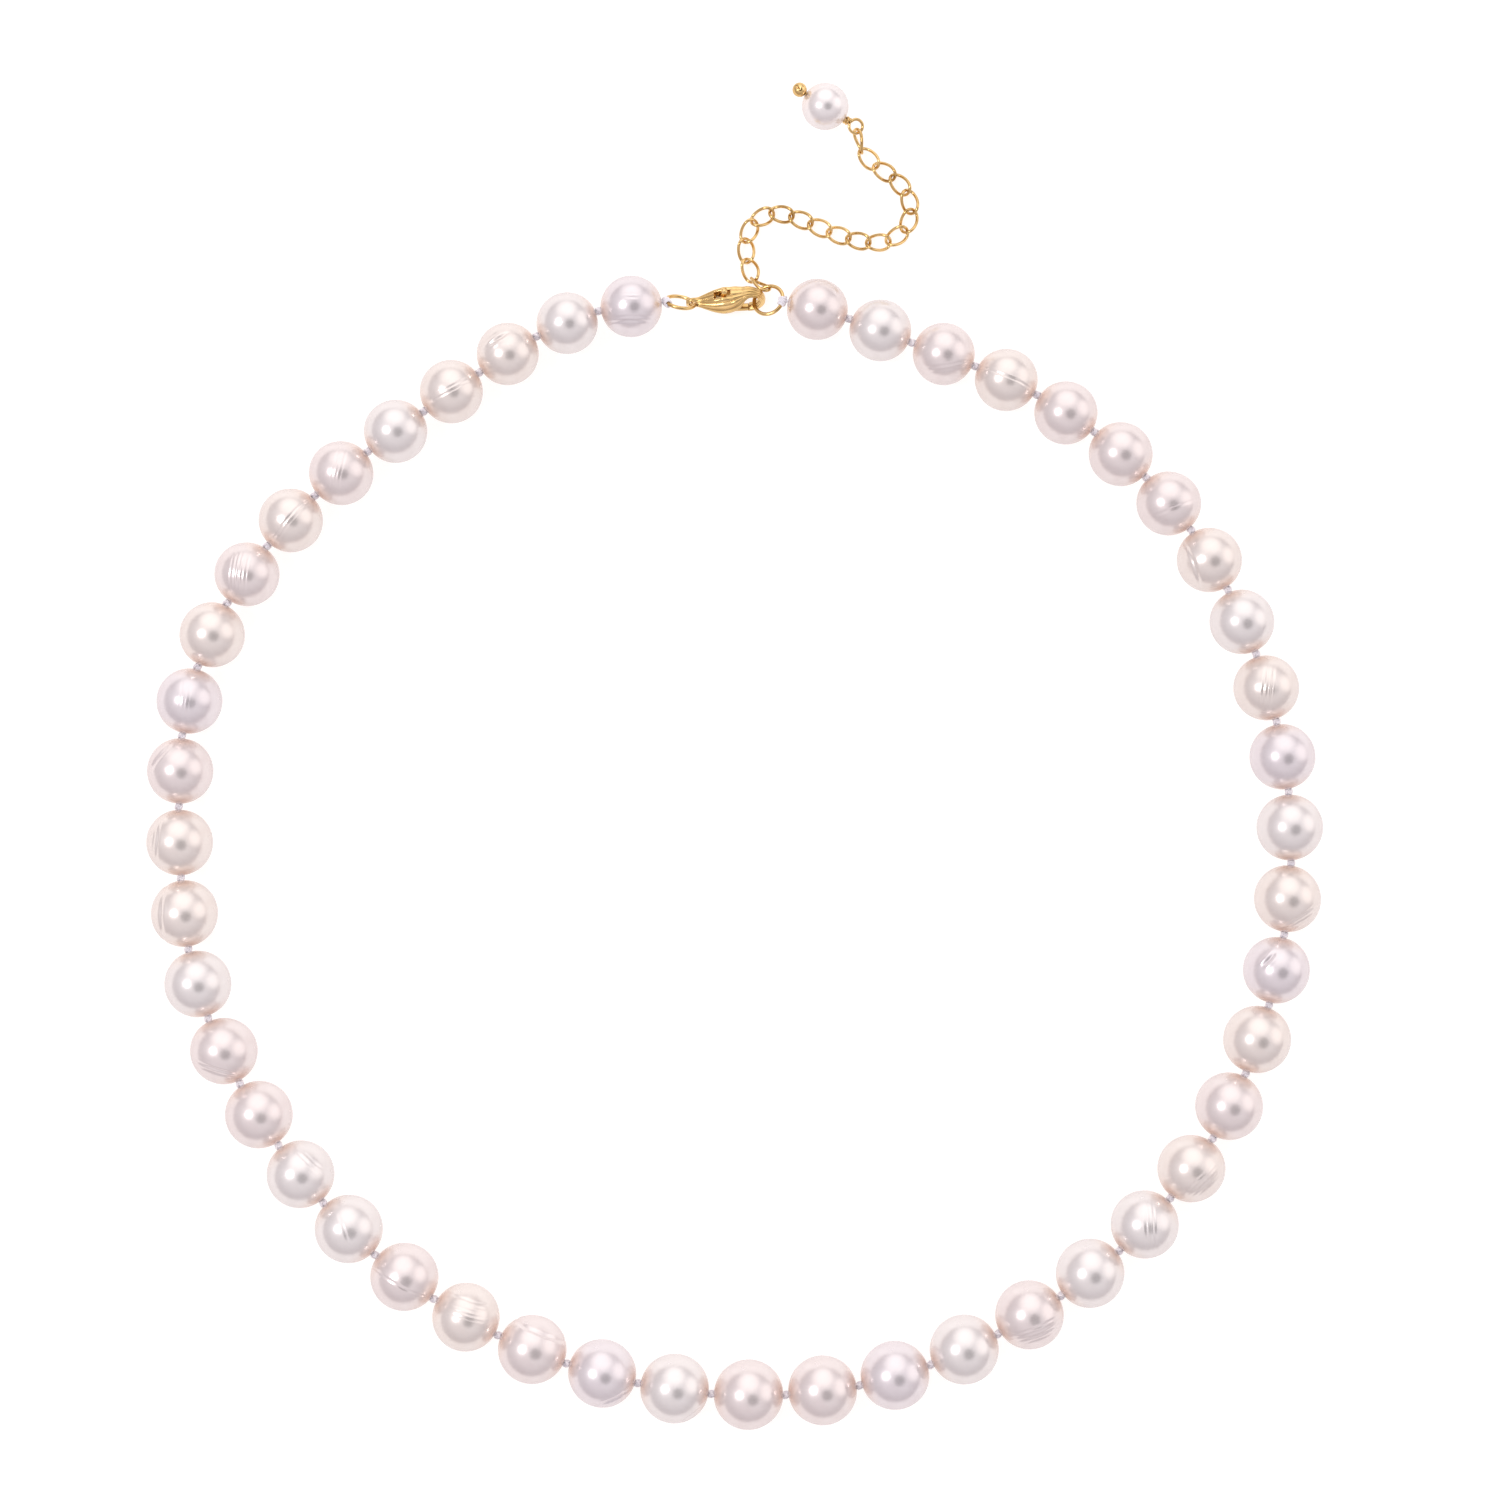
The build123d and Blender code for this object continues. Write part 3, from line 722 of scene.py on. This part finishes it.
# Extender ------------------------------------------------------------------------------
# Eighteen oval links of thin wire. Each is closed and soldered, then given a half twist, so
# that the links lie flat one after another. The first and last stand on edge, where they
# hang on the end ring and on the drop's eye.

link_wire = 0.21 * mm
link_half_length = 1.59 * mm
link_half_width = 1.01 * mm
link_twist = 0.46 * mm
standing_twist_share = 0.4
standing_rise = 0.65


def link_places(node):
    """Centre, length way and width way of each link of a CAD node."""
    shape = bmesh.new()
    shape.from_mesh(frame["nodes"][node].data)
    bmesh.ops.remove_doubles(shape, verts=shape.verts, dist=1e-6)
    shape.verts.index_update()
    places, seen = [], [False] * len(shape.verts)
    for first in shape.verts:
        if seen[first.index]:
            continue
        seen[first.index] = True
        front, found = [first], []
        while front:
            here = front.pop()
            found.append(here.co[:])
            for edge in here.link_edges:
                other = edge.other_vert(here)
                if not seen[other.index]:
                    seen[other.index] = True
                    front.append(other)
        corners = np.array(found)
        centre = (corners.min(0) + corners.max(0)) / 2
        ways = np.linalg.svd(corners - centre, full_matrices=False)[2]
        places.append((Vector(centre), Vector(ways[0]), Vector(ways[1])))
    shape.free()
    return places


def twisted_link(centre, along, across, twist):
    """One link: an oval of wire whose sides rise and fall."""
    normal = along.cross(across)
    line = []
    for step in range(64):
        angle = 2 * math.pi * step / 64
        line.append(
            centre
            + along * link_half_length * math.cos(angle)
            + across * link_half_width * math.sin(angle)
            + normal * twist * math.sin(2 * angle)
        )
    return tube(line, link_wire, 12, closed=True)


for group in range(1, 5):
    node = f"extender_links_{group}"
    parts = []
    for centre, along, across in link_places(node):
        twist = link_twist
        if abs(across.z) > standing_rise:
            twist *= standing_twist_share
        else:
            across = up.cross(along).normalized()
        parts.append(twisted_link(centre, along, across, twist))
    chain = mesh_piece(f"twisted_links_{group}", *joined(parts), gold)
    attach(chain, f"extender_{group}")
    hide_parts(node)


# Drop ----------------------------------------------------------------------------------
# A smaller, whiter pearl on a ball-headed pin. The pin's end is turned into an eye and wound
# twice round its own stem, and the ball was melted on the wire, which left a small sink mark.

pin_wire = 0.2 * mm
eye_radius = 0.9 * mm
winding_start = 1.2 * mm
winding_pitch = 0.36 * mm
winding_turns = 2
winding_reach = 0.38 * mm
ball_radius = 0.95 * mm
pin_play = 0.05 * mm
sink_width = 0.16
sink_length = 0.42
sink_depth = 0.26

drop_centre = Vector(joints["drop_pearl_spin"]["pos_m"])
pin_along = Vector(joints["drop_pearl_spin"]["axis"])
pin_side = up.cross(pin_along).normalized()
pin_normal = pin_along.cross(pin_side)
drop_low, drop_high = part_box("drop_pearl")
drop_radius = (drop_high.z - drop_low.z) / 2
station = winding_start + winding_pitch * (winding_turns - 1) + pin_wire + pin_play + drop_radius
eye_centre = drop_centre - pin_along * station
ball_centre = drop_centre + pin_along * (drop_radius + ball_radius + pin_play)

# the drop's last colour is its painted warm glow round the drilling, standing for bounced light
tints["drop"] = nacre("nacre_drop", (0.86, 0.81, 0.81), (0.81, 0.76, 0.76), (0.88, 0.76, 0.69))
drop = pearl_piece("nacre_drop_pearl", drop_centre, drop_radius, pin_along, "drop", [], drop_unevenness)
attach(drop, "drop_pearl")
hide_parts("drop_pearl")

stem_length = station + drop_radius - eye_radius
stem = [
    eye_centre + pin_along * (eye_radius + share * stem_length)
    for share in np.linspace(1.04, 0.03, 24)
]
eye = [
    eye_centre + eye_radius * (pin_along * math.cos(angle) + pin_side * math.sin(angle))
    + pin_normal * pin_wire * 1.1 * angle / (2 * math.pi)
    for angle in np.linspace(0.25, 2 * math.pi - 0.35, 40)
]
winding = [
    eye_centre
    + pin_along * (winding_start - 0.5 * winding_pitch + winding_pitch * angle / (2 * math.pi))
    + winding_reach * (pin_normal * math.cos(angle) - pin_side * math.sin(angle))
    for angle in np.linspace(0, 2 * math.pi * winding_turns, 20 * winding_turns)
]
turn = np.linspace(0, 2 * math.pi, 48, endpoint=False)
polar = np.linspace(0.02, math.pi - 0.02, 36)
ball_points = np.array(
    [(math.sin(p) * math.cos(t), math.sin(p) * math.sin(t), math.cos(p)) for p in polar for t in turn]
)
sink_way = np.array((pin_along * 0.45 + up * 0.85).normalized())
sink_side = np.array(pin_side)
from_sink = ball_points - sink_way
sink = np.exp(
    -((from_sink @ sink_side) / sink_width) ** 2
    - (np.linalg.norm(from_sink, axis=1) / sink_length) ** 2
)
ball_points = ball_points * (ball_radius * (1 - sink_depth * sink))[:, None] + np.array(ball_centre)
# the grid's faces, without those that would join its last row to its first
around, rows = len(turn), len(polar)
ball_faces = [face for face in grid_faces(rows, around) if max(face) - min(face) < around * 3]
ball_faces += [tuple(range(around)), tuple(range((rows - 1) * around, rows * around))]
pin_parts = [tube(stem + eye + winding, pin_wire, 12), (ball_points, ball_faces)]
headpin = mesh_piece("wound_headpin", *joined(pin_parts), gold)
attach(headpin, "headpin")
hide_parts("headpin")


# Table and light -----------------------------------------------------------------------
# The necklace lies on a plain white table under a white tent: a small lamp to the left, soft
# light through the tent's back and right walls, and a darker opening overhead.

table_reach = 4
table_height = -9e-5
table_corners = [
    (x * table_reach, y * table_reach, table_height) for x, y in ((-1, -1), (1, -1), (1, 1), (-1, 1))
]
table = mesh_piece("table", table_corners, [(0, 1, 2, 3)], bpy.data.materials.new("white_table"))
tree, links, surface = shader(table.data.materials[0])
surface.inputs["Base Color"].default_value = (0.36, 0.35, 0.35, 1)
surface.inputs["Roughness"].default_value = 0.9
surface.inputs["Emission Color"].default_value = (1.0, 0.965, 0.945, 1)
surface.inputs["Emission Strength"].default_value = 0.80

world = bpy.data.worlds.new("tent")
bpy.context.scene.world = world
world.use_nodes = True
tree = world.node_tree
links = tree.links
direction = tree.nodes.new("ShaderNodeTexCoord").outputs["Generated"]
height = tree.nodes.new("ShaderNodeSeparateXYZ")
links.new(direction, height.inputs["Vector"])
tent_stops = [
    (0.0, (0.56, 0.50, 0.51)), (0.14, (0.58, 0.53, 0.55)),
    (0.35, (0.63, 0.585, 0.615)), (0.8, (0.92, 0.89, 0.92)),
]
tent = ramp(tree, height.outputs["Z"], tent_stops)


def way_to(slope, bearing):
    """Direction to a place on the tent, from its slope from overhead and its bearing."""
    slope, bearing = math.radians(slope), math.radians(bearing)
    aside = math.sin(slope)
    return Vector((aside * math.cos(bearing), aside * math.sin(bearing), math.cos(slope)))


def glow(under, slope, bearing, inside, outside, colour):
    """A soft-edged patch of the tent, round a direction, between its two edges in degrees."""
    toward = tree.nodes.new("ShaderNodeVectorMath")
    toward.operation = "DOT_PRODUCT"
    links.new(direction, toward.inputs[0])
    toward.inputs[1].default_value = way_to(slope, bearing)
    edge = tree.nodes.new("ShaderNodeMapRange")
    edge.interpolation_type = "SMOOTHSTEP"
    edge.inputs["From Min"].default_value = math.cos(math.radians(outside))
    edge.inputs["From Max"].default_value = math.cos(math.radians(inside))
    links.new(toward.outputs["Value"], edge.inputs["Value"])
    patch = tree.nodes.new("ShaderNodeMix")
    patch.data_type = "RGBA"
    links.new(edge.outputs["Result"], patch.inputs["Factor"])
    links.new(under, patch.inputs["A"])
    patch.inputs["B"].default_value = (*colour, 1)
    return patch.outputs["Result"]


tent = glow(tent, 52, 90, 10, 44, (1.62, 1.58, 1.56))
tent = glow(tent, 66, 14, 8, 32, (1.6, 1.54, 1.52))
tent = glow(tent, 16, -30, 12, 23, (0.03, 0.025, 0.035))
links.new(tent, tree.nodes["Background"].inputs["Color"])
tree.nodes["Background"].inputs["Strength"].default_value = 1.0


lamp_distance = 1.1
lamp_width = 0.34
lamp_brightness = 10
lamp = bpy.data.lights.new("left_lamp", "AREA")
lamp.shape = "DISK"
lamp.size = lamp_width
lamp.energy = lamp_brightness * math.pi * lamp_width**2 * math.pi / 4
lamp_holder = bpy.data.objects.new("left_lamp", lamp)
lamp_way = way_to(31, 176)
lamp_holder.location = lamp_way * lamp_distance
lamp_holder.rotation_mode = "QUATERNION"
lamp_holder.rotation_quaternion = lamp_way.to_track_quat("Z", "Y")
bpy.context.scene.collection.objects.link(lamp_holder)

view_centre = Vector((2.0 * mm, 0.65 * mm, 4.2 * mm))
view_width = 195.75 * mm
camera = bpy.data.cameras.new("overhead")
camera.lens = 85
camera.sensor_width = 36
camera_holder = bpy.data.objects.new("overhead", camera)
camera_holder.location = view_centre + up * view_width * camera.lens / camera.sensor_width
bpy.context.scene.collection.objects.link(camera_holder)
bpy.context.scene.camera = camera_holder
bpy.context.scene.view_settings.view_transform = "Standard"
